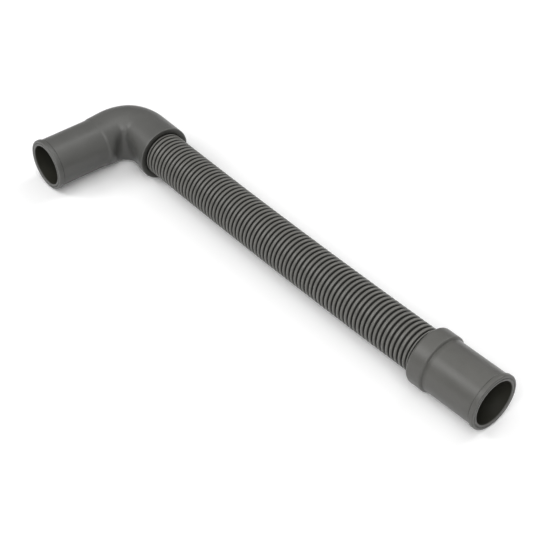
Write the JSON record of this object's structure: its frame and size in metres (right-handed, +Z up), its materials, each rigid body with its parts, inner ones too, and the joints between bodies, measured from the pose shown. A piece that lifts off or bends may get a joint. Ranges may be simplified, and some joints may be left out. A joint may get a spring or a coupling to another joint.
{
  "type": "drain hose",
  "caption": "Corrugated drain hose for a washing machine or dishwasher, with a moulded right-angle elbow on one end and a straight push-on cuff on the other.",
  "frame": {"origin": "middle of the outline seen from above, on the plane that the hose lies on", "axes": "+X from the elbow towards the straight cuff, -Y the way the elbow's arm points, +Z up"},
  "size_m": [0.4164, 0.1112, 0.0436],
  "materials": {
    "elbow_rubber": "satin dark grey, moulded",
    "hose_plastic": "satin grey",
    "cuff_rubber": "satin grey, moulded"
  },
  "bodies": {
    "root": {"elbow_connector": "elbow_rubber", "corrugated_hose": "hose_plastic", "straight_cuff": "cuff_rubber"}
  },
  "joints": []
}
